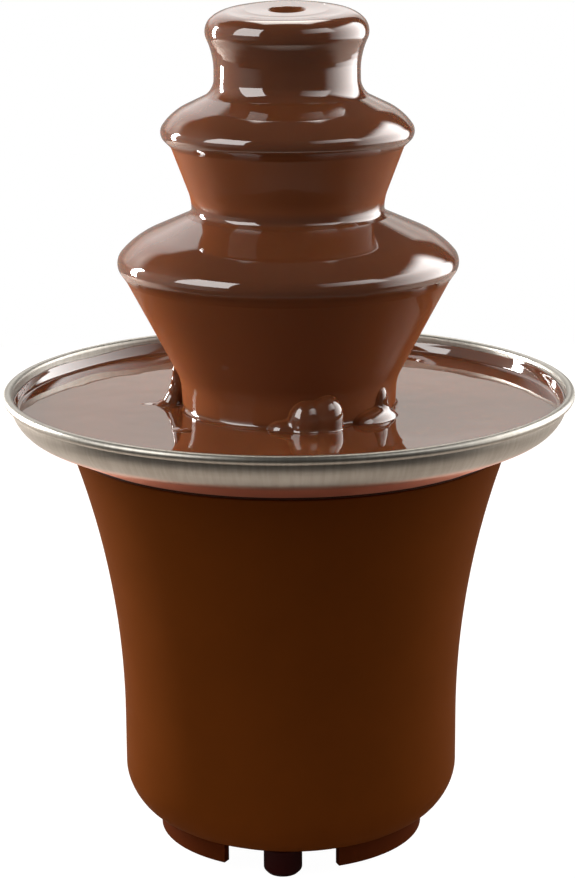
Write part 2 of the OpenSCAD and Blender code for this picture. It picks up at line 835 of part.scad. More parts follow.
module drive_pin() {
    color("silver") translate([0, 0, drive_pin_z]) rotate([0, 90, 0])
        cylinder(h = 2 * hub_r - 1, r = drive_pin_d / 2, center = true);
}

module retaining_ring() {
    color("dimgray") translate([0, 0, gear_cover_z + plate_t + bracket_t + 1.5 + rest_gap])
        tube(1, shaft_r + 2, shaft_r + skin_gap);
}

// Motor
function motor_nose_r() = spindle_r + 3;

module at_motor() {
    translate([motor_at.x, motor_at.y, 0]) children();
}

module at_motor_screws() {
    at_angles([motor_screw_turn, motor_screw_turn + 180], motor_screw_r) children();
}

module motor_can() {
    nose_h = plate_t - 0.5;
    color("silver") at_motor() difference() {
        union() {
            translate([0, 0, motor_z + cap_h]) cylinder(h = motor_h - cap_h, r = motor_r);
            translate([0, 0, case_z - cut]) cylinder(h = nose_h + cut, r = motor_nose_r());
        }
        translate([0, 0, motor_z]) cylinder(h = motor_h - 2 * can_wall, r = motor_r - can_wall);
        translate([0, 0, motor_z]) cylinder(h = motor_h + nose_h + cut, r = spindle_r + run_gap);
        translate([0, 0, case_z - 2 * can_wall - cut])
            at_motor_screws() cylinder(h = 2 * can_wall + 2 * cut, r = screw_r + skin_gap);
    }
}

module motor_magnets() {
    magnet_sweep = 120;
    out_r = motor_r - can_wall - skin_gap;
    color("dimgray") at_motor() for (side = [0, 180])
        translate([0, 0, motor_z + cap_h + 3]) rotate([0, 0, side - magnet_sweep / 2])
            rotate_extrude(angle = magnet_sweep)
                translate([armature_r + 0.6, 0]) square([out_r - armature_r - 0.6, armature_h()]);
}
function armature_h() = motor_h - cap_h - 2 * can_wall - 8;

module motor_end_cap() {
    lip_h = 3;
    lip_r = motor_r - can_wall - skin_gap;
    color("white") at_motor() difference() {
        union() {
            translate([0, 0, motor_z]) cylinder(h = cap_h, r = motor_r);
            translate([0, 0, motor_z + cap_h]) tube(lip_h, lip_r, lip_r - 1.2);
            for (side = [-1, 1])
                translate([side * motor_r / 2, 0, board_z + board_t])
                    cylinder(h = motor_z - board_z - board_t + cut, r = 1.4);
        }
        translate([0, 0, motor_z + 2]) cylinder(h = cap_h, r = spindle_r + run_gap);
    }
}

module motor_screws() {
    color("dimgray") translate([motor_at.x, motor_at.y, case_in_z])
        at_motor_screws() mirror([0, 0, 1]) screw(plate_t + 2 * can_wall);
}

module motor_shaft() {
    shaft_z = motor_z + 2 + rest_gap;
    color("silver") at_motor()
        translate([0, 0, shaft_z]) cylinder(h = low_gear_z + gear_w - shaft_z, r = spindle_r);
}

module motor_armature() {
    slot_w = 1.6;
    color("peru") at_motor() translate([0, 0, motor_z + cap_h + 3]) difference() {
        cylinder(h = armature_h(), r = armature_r);
        translate([0, 0, -cut]) cylinder(h = armature_h() + 2 * cut, r = spindle_r + skin_gap);
        for (turn = [0, 120, 240])
            rotate([0, 0, turn])
                translate([spindle_r + 2.5, -slot_w / 2, -cut])
                    cube([armature_r, slot_w, armature_h() + 2 * cut]);
    }
}

// The motor pinion has a gap facing the idler
module motor_pinion() {
    color("darkgoldenrod") at_motor() translate([0, 0, low_gear_z]) difference() {
        rotate([0, 0, motor_angle + 180 + 180 / pinion_teeth])
            linear_extrude(gear_w) polygon(gear_outline(pinion_teeth));
        translate([0, 0, -cut]) cylinder(h = gear_w + 2 * cut, r = spindle_r + skin_gap);
    }
}

module rectifier_board() {
    diode_r = 1.5;
    diode_l = 6;
    capacitor_r = 3;
    capacitor_h = 9;
    color("darkgreen") at_motor() translate([0, 0, board_z]) {
        cylinder(h = board_t, r = motor_r - 1);
        for (x = [-6, -2, 2, 6])
            translate([x, -diode_l / 2, -diode_r + 0.2])
                rotate([-90, 0, 0]) cylinder(h = diode_l, r = diode_r);
        translate([0, 8, -capacitor_h]) cylinder(h = capacitor_h + board_t / 2, r = capacitor_r);
    }
}

// Switches: local +Y points out of the housing

module switch_body(side) {
    blade = [4.8, 7, 0.8];
    well_h = 2 * rocker_reach() + 0.8;
    flange_back = switch_face - switch_flange_t;
    color([0.08, 0.08, 0.08]) on_back(side) difference() {
        union() {
            box_around(switch_w, flange_back, switch_face, switch_h);
            box_around(switch_case_w, switch_face - switch_depth, flange_back + cut, switch_case_h);
            for (z = [-4, 0, 4])
                translate([-blade.x / 2, switch_face - switch_depth - blade.y, z - blade.z / 2])
                    cube(blade + [0, cut, 0]);
        }
        box_around(rocker_w + 2 * rest_gap, pivot_y - rocker_reach() - 0.4, switch_face + cut, well_h);
        translate([0, pivot_y, 0]) rotate([0, 90, 0])
            cylinder(h = rocker_pin_l() + 2 * rest_gap, r = rocker_pin_r + run_gap, center = true);
    }
}
function rocker_reach() = norm([rocker_half_h, rocker_back]);
function rocker_pin_l() = rocker_w + 3;

module rocker(side) {
    hollow = 1.5;
    color([0.15, 0.15, 0.15]) on_back(side) translate([0, pivot_y, 0]) {
        rotate([-rocker_swing / 2, 0, 0]) rotate([0, -90, 0])
            linear_extrude(rocker_w, center = true) polygon([
                [-rocker_half_h, -rocker_back],
                [rocker_half_h, -rocker_back],
                [rocker_half_h, rocker_back],
                [0, rocker_back - hollow],
                [-rocker_half_h, rocker_back]
            ]);
        rotate([0, 90, 0]) cylinder(h = rocker_pin_l(), r = rocker_pin_r, center = true);
    }
}
module heat_switch() { switch_body(1); }
module heat_rocker() { rocker(1); }
module motor_switch() { switch_body(-1); }
module motor_rocker() { rocker(-1); }

module cord_gland() {
    barrel_l = wall + 4;
    nut_t = 2.5;
    color([0.08, 0.08, 0.08]) translate([0, gland_face, gland_at_z]) rotate([-90, 0, 0]) difference() {
        union() {
            cylinder(h = gland_flange_t, r = gland_flange_r);
            translate([0, 0, -barrel_l]) cylinder(h = barrel_l, r = gland_r);
            translate([0, 0, -barrel_l]) cylinder(h = nut_t, r = gland_flange_r);
        }
        translate([0, 0, -barrel_l - cut])
            cylinder(h = barrel_l + gland_flange_t + 2 * cut, r = gland_bore_d / 2);
    }
}

// Tower

module tower_lower_section() {
    bottom = [[bore_r, tower_z], [skirt_r, tower_z]];
    spigot = [[tube_r, lower_top.y - film], [tube_r, lower_sleeve_z], [bore_r, lower_sleeve_z]];
    inset = film + tower_wall;
    color("white") difference() {
        union() {
            rotate_extrude() difference() {
                polygon(concat(bottom, reversed(lower_path(film)), spigot));
                polygon(concat(
                    [[tube_r, tower_z - cut], [skirt_r - tower_wall, tower_z - cut]],
                    reversed(lower_path(inset)),
                    [[tube_r, lower_top.y - inset]]
                ));
            }
            for (a = foot_angles)
                rotate([0, 0, a])
                    translate([tube_r - tower_wall / 2, -web_w / 2, tower_z])
                        cube([skirt_r - tube_r, web_w, web_h]);
        }
        at_angles(foot_angles, post_r)
            translate([0, 0, tower_z - cut]) cylinder(h = web_h + 2 * cut, r = post_pin_d / 2 + rest_gap);
    }
}

module tower_middle_section() {
    shoulder_z = lower_sleeve_z + rest_gap;
    inset = film + tower_wall;
    color("white") rotate_extrude() difference() {
        polygon(concat(
            [[bore_r, middle_foot.y]],
            reversed(middle_path(film)),
            [[tube_r, middle_top.y - film], [tube_r, middle_sleeve_z], [bore_r, middle_sleeve_z]]
        ));
        translate([0, middle_foot.y - cut]) square([sleeve_r, shoulder_z - middle_foot.y + cut]);
        polygon(concat(
            [[sleeve_r + tower_wall, middle_foot.y - cut], [middle_foot.x - inset, middle_foot.y - cut]],
            reversed(middle_path(inset)),
            [[sleeve_r + tower_wall, middle_top.y - inset]]
        ));
    }
}

module tower_crown() {
    shoulder_z = middle_sleeve_z + rest_gap;
    color("white") rotate_extrude() difference() {
        polygon(concat(
            [[bore_r, neck_z]],
            reversed(crown_path(film)),
            [[bore_r, crown_plastic_z]]
        ));
        translate([0, neck_z - cut]) square([sleeve_r, shoulder_z - neck_z + cut]);
    }
}

// Auger: one helical flight on a core, with a slotted hub over the drive pin
module auger() {
    flight_h = flight_top - flight_z;
    flight_angle = 360 * flight_t / auger_pitch;
    slices_per_turn = 20;
    slot_w = drive_pin_d + 2 * rest_gap;
    color("white") difference() {
        union() {
            translate([0, 0, hub_z]) cylinder(h = hub_top - hub_z, r = hub_r);
            translate([0, 0, hub_top - cut])
                cylinder(h = well_z - skin_gap - hub_top + cut, r = auger_core_d / 2);
            translate([0, 0, flight_z])
                linear_extrude(
                    flight_h,
                    twist = -360 * flight_h / auger_pitch,
                    slices = round(slices_per_turn * flight_h / auger_pitch),
                    $fn = 6
                ) polygon(concat(
                    [for (a = [0, flight_angle]) (auger_core_d / 2 - 1) * direction(a)],
                    [for (a = [flight_angle, flight_angle / 2, 0]) flight_r * direction(a)]
                ));
        }
        translate([0, 0, hub_z - cut]) cylinder(h = shaft_top + 0.5 - hub_z + cut, r = shaft_r + run_gap);
        translate([-hub_r - cut, -slot_w / 2, hub_z - cut])
            cube([2 * (hub_r + cut), slot_w, drive_pin_z + slot_w / 2 - hub_z + cut]);
    }
}

// Chocolate

module chocolate_pool() {
    hole_r = skirt_r + 2 * rest_gap;
    color(chocolate) rotate_extrude() intersection() {
        polygon(concat(bowl_path(sheet_t + skin_gap, hole_r), [[hole_r, rim_z]]));
        translate([hole_r, floor_z]) square([rim_r, pool_z - floor_z]);
    }
}

module chocolate_lower_flow() {
    color(chocolate) rotate_extrude() polygon(concat(
        [[tube_r + skin_gap, lower_top.y]],
        lower_path(0),
        reversed(lower_path(film - skin_gap)),
        [[tube_r + skin_gap, lower_top.y - film + skin_gap]]
    ));
}

module chocolate_middle_flow() {
    color(chocolate) rotate_extrude() polygon(concat(
        [[tube_r + skin_gap, middle_top.y]],
        middle_path(0),
        reversed(middle_path(film - skin_gap)),
        [[tube_r + skin_gap, middle_top.y - film + skin_gap]]
    ));
}

module chocolate_crown_flow() {
    plastic_top = crown_plastic_z + skin_gap;
    color(chocolate) rotate_extrude() polygon(concat(
        [[mouth_r, crown_dome_z(mouth_r)]],
        crown_path(0),
        reversed(crown_path(film - skin_gap)),
        [[mouth_r, plastic_top]]
    ));
}

module chocolate_well() {
    color(chocolate) rotate_extrude() polygon(rounded([
        [0, crown_dome_z(dimple_r) - dimple_depth],
        [dimple_r * 0.6, crown_dome_z(dimple_r) - dimple_depth, dimple_rounds[0]],
        [dimple_r * 1.1, crown_dome_z(dimple_r * 1.1), dimple_rounds[1]],
        [well_r, crown_dome_z(well_r)],
        [well_r, well_z],
        [0, well_z]
    ]));
}

housing();
bottom_cover();
cover_screws();
foot_front();
foot_right();
foot_left();
foot_stud_front();
foot_stud_right();
foot_stud_left();
bowl();
bowl_gasket();
tower_posts();
heater_plate();
heating_element();
thermostat();
bracket_pillars();
motor_bracket();
bracket_screws();
shaft_bush();
shaft_seal();
gearbox_cover();
gearbox_case();
gearbox_screws();
idler_pin();
idler_gear();
output_gear();
drive_shaft();
drive_pin();
retaining_ring();
motor_can();
motor_magnets();
motor_end_cap();
motor_screws();
motor_shaft();
motor_armature();
motor_pinion();
rectifier_board();
heat_switch();
heat_rocker();
motor_switch();
motor_rocker();
cord_gland();
tower_lower_section();
tower_middle_section();
tower_crown();
auger();
chocolate_pool();
chocolate_lower_flow();
chocolate_middle_flow();
chocolate_crown_flow();
chocolate_well();
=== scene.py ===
"""Looks of a home chocolate fountain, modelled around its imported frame, as an add-on."""

import json
import math

import bmesh
import bpy
from bpy.props import FloatProperty, FloatVectorProperty, IntProperty, PointerProperty
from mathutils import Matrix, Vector


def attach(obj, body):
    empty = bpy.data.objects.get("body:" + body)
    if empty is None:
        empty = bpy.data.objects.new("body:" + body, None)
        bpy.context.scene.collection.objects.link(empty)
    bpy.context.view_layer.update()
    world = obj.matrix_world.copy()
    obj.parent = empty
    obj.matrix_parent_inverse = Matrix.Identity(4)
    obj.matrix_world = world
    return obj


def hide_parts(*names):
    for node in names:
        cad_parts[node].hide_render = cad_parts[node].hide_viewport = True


bl_info = {
    "name": "Chocolate fountain",
    "version": (1, 0, 0),
    "blender": (4, 5, 0),
    "location": "3D View > Sidebar > Fountain",
    "description": "Models and finishes the visible pieces of a home chocolate fountain",
    "category": "Object",
}

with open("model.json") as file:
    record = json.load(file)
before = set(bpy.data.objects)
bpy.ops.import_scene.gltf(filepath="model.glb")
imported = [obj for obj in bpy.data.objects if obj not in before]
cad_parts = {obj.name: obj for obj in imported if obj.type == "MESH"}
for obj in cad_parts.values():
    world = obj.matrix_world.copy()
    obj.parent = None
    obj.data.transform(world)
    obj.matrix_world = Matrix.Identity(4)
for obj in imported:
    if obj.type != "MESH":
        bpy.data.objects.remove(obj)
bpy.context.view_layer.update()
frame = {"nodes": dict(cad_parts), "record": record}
MM = 0.001
MEETING = 1e-6  # metres within which two places are one
ARC_STEP = math.radians(6)  # turn of one side of a rounded corner
CORNER_ROOM = 0.98  # share of a side that its two rounded corners may take


# Drawing tools

def begin(name, primitive, **options):
    """Adds a primitive with nothing else selected, names it and puts its place in its mesh."""
    bpy.ops.object.select_all(action="DESELECT")
    primitive(**options)
    piece = bpy.context.object
    piece.name = piece.data.name = name
    bpy.ops.object.transform_apply(location=True, rotation=True, scale=True)
    return piece


def alone(piece):
    """Makes a piece the only one selected, and the active one."""
    bpy.ops.object.select_all(action="DESELECT")
    piece.select_set(True)
    bpy.context.view_layer.objects.active = piece


def pick(piece, kind, test):
    """Selects the vertices or edges of a piece in edit mode that pass a test, and counts them."""
    bpy.ops.mesh.select_mode(type=kind)
    bpy.ops.mesh.select_all(action="DESELECT")
    shape = bmesh.from_edit_mesh(piece.data)
    count = 0
    for part in {"VERT": shape.verts, "EDGE": shape.edges}[kind]:
        if not part.hide and test(part):
            part.select_set(True)
            count += 1
    shape.select_flush_mode()
    bmesh.update_edit_mesh(piece.data)
    return count


def pick_corners(piece, *corners):
    """Selects the vertices of an outline that lie at some of its corners."""
    pick(piece, "VERT", lambda vert: min((vert.co - at).length for at in corners) < MEETING)


def round_corners(piece, corners, radii):
    """Rounds the corners of an outline in edit mode; two that meet on a short side share it."""
    count = len(corners)
    sides = [corners[(index + 1) % count] - corner for index, corner in enumerate(corners)]
    turns = [sides[index - 1].angle(side) for index, side in enumerate(sides)]
    runs = [radius * math.tan(turn / 2) for radius, turn in zip(radii, turns)]
    for index, run in enumerate(runs):
        if run:
            after = (index + 1) % count
            room_before = CORNER_ROOM * sides[index - 1].length * run / (run + runs[index - 1])
            room_after = CORNER_ROOM * sides[index].length * run / (run + runs[after])
            pick_corners(piece, corners[index])
            bpy.ops.mesh.bevel(
                offset_type="OFFSET", offset=min(run, room_before, room_after), profile=0.5,
                segments=max(3, round(turns[index] / ARC_STEP)), affect="VERTICES",
            )


def lathe(name, outline, fine=1.5, steps=180):
    """Draws an outline of (radius, height, rounding) corners in mm and spins it about the axis.

    The outline runs back to its first corner, unless that one lies on the axis.
    No side of it is longer than fine, in mm.
    """
    corners = [Vector((corner[0] * MM, 0, corner[1] * MM)) for corner in outline]
    radii = [corner[2] * MM if len(corner) == 3 else 0 for corner in outline]
    piece = begin(name, bpy.ops.mesh.primitive_plane_add, size=MM, location=corners[0])
    bpy.ops.object.mode_set(mode="EDIT")
    bpy.ops.mesh.select_all(action="SELECT")
    bpy.ops.mesh.merge(type="CENTER")
    for before, after in zip(corners, corners[1:]):
        bpy.ops.mesh.extrude_vertices_move(TRANSFORM_OT_translate={"value": after - before})
    if corners[0].x > 0:
        pick_corners(piece, corners[0], corners[-1])
        bpy.ops.mesh.edge_face_add()
    round_corners(piece, corners, radii)
    while pick(piece, "EDGE", lambda edge: edge.calc_length() > fine * MM):
        bpy.ops.mesh.subdivide(number_cuts=1)
    bpy.ops.mesh.select_mode(type="VERT")
    bpy.ops.mesh.select_all(action="SELECT")
    bpy.ops.mesh.spin(steps=steps, angle=math.tau, center=(0, 0, 0), axis=(0, 0, 1))
    bpy.ops.mesh.select_all(action="SELECT")
    bpy.ops.mesh.remove_doubles(threshold=MEETING)
    bpy.ops.mesh.normals_make_consistent(inside=False)
    bpy.ops.object.mode_set(mode="OBJECT")
    return piece


def modify(piece, kind, **settings):
    """Adds a modifier to a piece and applies it."""
    alone(piece)
    bpy.ops.object.modifier_add(type=kind)
    modifier = piece.modifiers[-1]
    for key, value in settings.items():
        setattr(modifier, key, value)
    bpy.ops.object.modifier_apply(modifier=modifier.name)


def join(pieces):
    """Joins pieces into the first of them."""
    alone(pieces[0])
    for piece in pieces:
        piece.select_set(True)
    bpy.ops.object.join()
    return pieces[0]


def remove(piece):
    """Takes a helper piece out of the scene."""
    alone(piece)
    bpy.ops.object.delete()


def cut_away(piece, cutters):
    """Cuts the cutters' shapes out of a piece, and removes the cutters."""
    for cutter in cutters:
        modify(piece, "BOOLEAN", operation="DIFFERENCE", solver="EXACT", object=cutter)
        remove(cutter)


def around(radius, angle, height):
    """Turns a radius and height in mm, and degrees from the front, into a place."""
    turn = math.radians(angle)
    return Vector((radius * math.sin(turn), -radius * math.cos(turn), height)) * MM


def dress(mesh, finish):
    """Gives a mesh one finish."""
    mesh.materials.clear()
    mesh.materials.append(bpy.data.materials[finish])


def settle(piece, body, slot, *nodes, sharp=35):
    """Shades a finished piece, dresses it and hands it to the frame."""
    alone(piece)
    bpy.ops.object.shade_smooth_by_angle(angle=math.radians(sharp))
    dress(piece.data, slot)
    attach(piece, body)
    if nodes:
        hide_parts(*nodes)


# Shader tools

class Value:
    """A shader socket that takes part in arithmetic."""

    def __init__(self, recipe, socket):
        self.recipe = recipe
        self.socket = socket

    def math(self, operation, *terms):
        return self.recipe.node("ShaderNodeMath", {"operation": operation}, dict(enumerate(terms)))

    def __add__(self, other):
        return self.math("ADD", self, other)

    def __radd__(self, other):
        return self.math("ADD", other, self)

    def __sub__(self, other):
        return self.math("SUBTRACT", self, other)

    def __rsub__(self, other):
        return self.math("SUBTRACT", other, self)

    def __mul__(self, other):
        return self.math("MULTIPLY", self, other)

    def __rmul__(self, other):
        return self.math("MULTIPLY", other, self)

    def __truediv__(self, other):
        return self.math("DIVIDE", self, other)

    def __rtruediv__(self, other):
        return self.math("DIVIDE", other, self)

    def __pow__(self, other):
        return self.math("POWER", self, other)

    def at_least(self, other):
        return self.math("MAXIMUM", self, other)


class Recipe:
    """A node tree that is written from empty."""

    def __init__(self, tree):
        self.tree = tree
        tree.nodes.clear()

    def node(self, kind, settings=None, inputs=None, output=0):
        """Adds a node with its settings, feeds its sockets and returns one of its outputs."""
        made = self.tree.nodes.new(kind)
        for key, value in (settings or {}).items():
            setattr(made, key, value)
        for key, value in (inputs or {}).items():
            if isinstance(value, Value):
                self.tree.links.new(value.socket, made.inputs[key])
            else:
                made.inputs[key].default_value = value
        return Value(self, made.outputs[output]) if made.outputs else None

    def blend(self, factor, first, second):
        """Mixes two colours."""
        inputs = {0: factor, 6: first, 7: second}
        return self.node("ShaderNodeMix", {"data_type": "RGBA"}, inputs, 2)

    def smooth(self, value, low, high, start=0.0, end=1.0):
        """Maps low to high smoothly onto start to end."""
        inputs = {0: value, 1: low, 2: high, 3: start, 4: end}
        return self.node("ShaderNodeMapRange", {"interpolation_type": "SMOOTHSTEP"}, inputs)

    def band(self, value, low, lower, upper, high):
        """One between lower and upper, and nought below low and above high."""
        return self.smooth(value, low, lower) * self.smooth(value, high, upper)

    def split(self, vector):
        """The three parts of a vector."""
        parts = self.node("ShaderNodeSeparateXYZ", inputs={0: vector}).socket.node.outputs
        return [Value(self, part) for part in parts]

    def combine(self, x, y, z):
        """A vector from its three parts."""
        return self.node("ShaderNodeCombineXYZ", inputs={0: x, 1: y, 2: z})

    def place(self):
        """The place on the object, and its three parts."""
        place = self.node("ShaderNodeTexCoord", output="Object")
        return place, self.split(place)

    def seen(self):
        """One for what the camera sees directly, and nought for light and reflections."""
        return self.node("ShaderNodeLightPath", output="Is Camera Ray")

    def noise(self, vector, scale, detail=2.0):
        """Noise between nought and one at a place."""
        inputs = {"Vector": vector, "Scale": scale, "Detail": detail}
        return self.node("ShaderNodeTexNoise", inputs=inputs)

    def bump(self, height, distance):
        """A normal bent by a height between nought and one, for a distance in metres."""
        inputs = {"Height": height, "Distance": distance, "Strength": 1.0}
        return self.node("ShaderNodeBump", inputs=inputs)

    def mix(self, factor, first, second):
        """Ends the tree in a mix of two shaders."""
        self.end(self.node("ShaderNodeMixShader", inputs={0: factor, 1: first, 2: second}))

    def surface(self, **inputs):
        """Ends the tree in a principled surface."""
        names = {
            key.replace("_", " ").title().replace("Ior", "IOR"): value
            for key, value in inputs.items()
        }
        self.end(self.node("ShaderNodeBsdfPrincipled", inputs=names))

    def end(self, shader):
        self.node("ShaderNodeOutputMaterial", inputs={0: shader})


def material(name, viewport):
    """Makes a named material in place of the frame's flat one, with its viewport colour."""
    flat = bpy.data.materials.get(name)
    if flat:
        bpy.data.materials.remove(flat)
    made = bpy.data.materials.new(name)
    made.use_nodes = True
    made.diffuse_color = viewport
    return Recipe(made.node_tree)


def shade(colour, red, green, blue):
    """A colour with a share of each of its parts."""
    return (colour[0] * red, colour[1] * green, colour[2] * blue, 1)


# Finishes, with their places and depths in metres

# Heights between which the chocolate falls as a thin sheet, each with its fade
LOWER_FALL = (0.1695, 0.1715, 0.217, 0.2205)
MIDDLE_FALL = (0.2425, 0.246, 0.2655, 0.268)
# The lower fall's wall: a straight foot of this radius up to this height, then a slope
FOOT_RADIUS = 0.0397
FOOT_TOP = 0.1796
WALL_SLOPE = 0.523
OFF_WALL = (0.0012, 0.0004)  # distances from the wall at which splashes and sheet begin
# Heights over which a fall's loss of gloss changes, and that loss at its foot and above
FALL_GLOSS = (0.182, 0.19, 0.96, 0.86)
# Heights and radii over which the dimple in the crown's top fades, and its loss of gloss
DIMPLE_HEIGHT = (0.308, 0.309)
DIMPLE_RADIUS = (0.0072, 0.0056)
DIMPLE_GLOSS = 0.95

GRAIN_SCALE = 2600.0
GRAIN_DEPTH = 0.00002
STAND_SHADE_TOP = (0.0132, 0.0124)  # heights over which the painted shade of the stand begins: the base's plastic painted darker where it turns under

TURNING_SCALE = 2600.0
TURNING_DEPTH = 0.000004
OFF_AXIS = 1e-9  # keeps a radius above nought
HOUSING_REFLECTION_TOP = (0.1655, 0.1615)  # heights over which the painted reflection under the bowl begins: the steel painted warm for the brown base it would mirror


def chocolate(name, colour):
    """Melted chocolate: a streaky warm body under a wet gloss, duller where it falls; the falling
    sheets are also painted paler, painted light standing in for light they miss.
    """
    recipe = material(name, colour)
    place, (x, y, z) = recipe.place()
    radius = (x * x + y * y) ** 0.5
    streaks = recipe.noise(recipe.combine(x, y, z * 0.12), 130.0)
    body = recipe.blend(streaks * 0.3, colour, shade(colour, 0.6, 0.52, 0.5))
    wall = FOOT_RADIUS + WALL_SLOPE * (z - FOOT_TOP).at_least(0.0)
    falling = recipe.band(z, *LOWER_FALL) * recipe.smooth(radius - wall, *OFF_WALL)
    falling = falling + recipe.band(z, *MIDDLE_FALL)
    dimple = recipe.smooth(z, *DIMPLE_HEIGHT) * recipe.smooth(radius, *DIMPLE_RADIUS)
    gloss = 1.0 - falling * recipe.smooth(z, *FALL_GLOSS) - DIMPLE_GLOSS * dimple
    recipe.surface(
        # painted light: the falling sheets' base colour is lightened to stand in for light their
        # downward-facing surfaces do not catch
        base_color=recipe.blend(falling, body, shade(colour, 1.4, 1.4, 1.4)),
        roughness=0.3 + 0.15 * recipe.noise(place, 60.0), specular_ior_level=0.0,
        coat_weight=gloss, coat_roughness=0.03, coat_ior=1.9,
        subsurface_weight=0.35, subsurface_radius=(1.0, 0.35, 0.12), subsurface_scale=0.004,
    )


def plastic(name, colour, roughness, shine=0.4, stand_shade=None):
    """Moulded plastic or rubber: a fine grain, faint clouds, and painted shade that darkens the
    stand under the flare.
    """
    recipe = material(name, colour)
    place, (_, _, z) = recipe.place()
    clouds = recipe.noise(place, 45.0, 4.0)
    grain = recipe.noise(place, GRAIN_SCALE, 1.0)
    darker = shade(colour, 0.92, 0.92, 0.92)
    mottled_and_shaded = recipe.blend(recipe.smooth(clouds, 0.2, 0.8), colour, darker)
    # painted shade: the stand below the flare is darkened as if shaded, though it is the base's own
    # plastic
    if stand_shade:
        mottled_and_shaded = recipe.blend(recipe.smooth(z, *STAND_SHADE_TOP), mottled_and_shaded, stand_shade)
    recipe.surface(
        base_color=mottled_and_shaded, roughness=roughness - 0.05 + 0.1 * clouds,
        normal=recipe.bump(grain, GRAIN_DEPTH), specular_ior_level=shine,
    )


def brushed(name, colour, roughness, housing_reflection=None):
    """Turned metal: fine lines round the axis, hatching across, clouds, and a painted reflection
    underneath, a warm tint for the brown base the steel would mirror.
    """
    recipe = material(name, colour)
    place, (x, y, z) = recipe.place()
    radius = (x * x + y * y + OFF_AXIS) ** 0.5
    east, north = x / radius, y / radius
    turning = recipe.combine((radius + z * 0.7) * TURNING_SCALE, east * 2.5, north * 2.5)
    lines = recipe.noise(turning, 1.0, 3.0)
    clouds = recipe.noise(place, 55.0, 3.0)
    hatch = recipe.smooth(recipe.noise(recipe.combine(east, north, z * 1.5), 70.0), 0.3, 0.7)
    duller = shade(colour, 0.76, 0.75, 0.72)
    worn_and_reflected = recipe.blend(lines * 0.4 + clouds * 0.3 + hatch * 0.5, colour, duller)
    # painted reflection: the underside of the bowl is tinted warm as if it mirrored the lit brown
    # base
    if housing_reflection:
        worn_and_reflected = recipe.blend(recipe.smooth(z + clouds * 0.001, *HOUSING_REFLECTION_TOP), worn_and_reflected, housing_reflection)
    recipe.surface(
        base_color=worn_and_reflected, metallic=1.0, roughness=roughness - 0.08 + 0.1 * lines + 0.06 * clouds,
        normal=recipe.bump(lines, TURNING_DEPTH),
    )


# Settings

def size_prop(name, description, default):
    return FloatProperty(name=name, description=description, default=default, unit="LENGTH")


def colour_prop(name, description, default):
    return FloatVectorProperty(
        name=name, description=description, default=(*default, 1.0), size=4, subtype="COLOR",
        min=0.0, max=1.0,
    )


class FountainSizes(bpy.types.PropertyGroup):
    """Sizes of the visible pieces."""

    pool_level: size_prop("Pool level", "Height of the chocolate in the bowl", 0.1689)
    film_rise: size_prop("Film rise", "How far the film climbs the bowl's back wall", 0.0024)
    ripple: size_prop("Ripple", "Height of the ripples on the pool", 0.00022)
    splash_grain: size_prop("Splash grain", "Size of the cells the splash is melted from", 0.0006)
    steps: IntProperty(
        name="Steps", description="Steps in a full turn of a round piece", default=180, min=60
    )


class FountainColours(bpy.types.PropertyGroup):
    """Colours of the finishes."""

    chocolate: colour_prop("Chocolate", "Melted chocolate", (0.135, 0.0415, 0.0155))
    base: colour_prop("Base", "Satin plastic of the base", (0.094, 0.0237, 0.0032))
    # painted shade: the base's plastic, darkened for the shade beneath the flare
    stand_shade: colour_prop("Stand", "Shaded plastic of the stand", (0.055, 0.0115, 0.0028))
    steel: colour_prop("Steel", "Stainless steel of the bowl", (0.38, 0.365, 0.335))
    # painted reflection: a warm tint for the brown base that the bowl's underside would mirror
    housing_reflection: colour_prop("Tint", "Warm tint of the steel under the bowl", (0.9, 0.36, 0.24))
    rubber: colour_prop("Rubber", "Rubber of the feet", (0.024, 0.0012, 0.0012))
    tower: colour_prop("Tower", "Plastic of the tower and auger", (0.62, 0.55, 0.44))


# Operators

class FOUNTAIN_OT_finishes(bpy.types.Operator):
    """Writes every finish and puts it on the pieces of the frame"""

    bl_idname = "fountain.finishes"
    bl_label = "Finishes"

    # Colour and roughness of the finishes that are mostly out of sight
    hidden_plastics = {
        "white_nylon": ((0.66, 0.65, 0.60, 1), 0.45),
        "magnet": ((0.045, 0.043, 0.042, 1), 0.6),
        "circuit_board": ((0.02, 0.13, 0.045, 1), 0.4),
        "black_plastic": ((0.012, 0.011, 0.011, 1), 0.38),
        "rocker_plastic": ((0.018, 0.017, 0.017, 1), 0.28),
    }
    hidden_metals = {
        "plated_steel": ((0.62, 0.61, 0.58, 1), 0.22),
        "screw_steel": ((0.30, 0.29, 0.28, 1), 0.35),
        "sheet_steel": ((0.46, 0.46, 0.45, 1), 0.38),
        "heater_aluminium": ((0.70, 0.70, 0.69, 1), 0.42),
        "bronze": ((0.52, 0.30, 0.11, 1), 0.3),
    }

    def execute(self, context):
        colours = context.scene.fountain_colours
        base, stand_shade, rubber = tuple(colours.base), tuple(colours.stand_shade), tuple(colours.rubber)
        chocolate("chocolate", tuple(colours.chocolate))
        plastic("brown_plastic", base, 0.6, shine=0.005, stand_shade=stand_shade)
        plastic("foot_rubber", rubber, 0.55, shine=0.08)
        plastic("seal_rubber", (0.045, 0.016, 0.009, 1), 0.65, shine=0.1)
        plastic("tower_plastic", tuple(colours.tower), 0.35)
        brushed("stainless_bowl", tuple(colours.steel), 0.36, housing_reflection=tuple(colours.housing_reflection))
        for name, look in self.hidden_plastics.items():
            plastic(name, *look)
        for name, look in self.hidden_metals.items():
            brushed(name, *look)
        for entry in frame["record"]["subparts"]:
            dress(frame["nodes"][entry["node"]].data, entry["material_slot"])
        return {"FINISHED"}


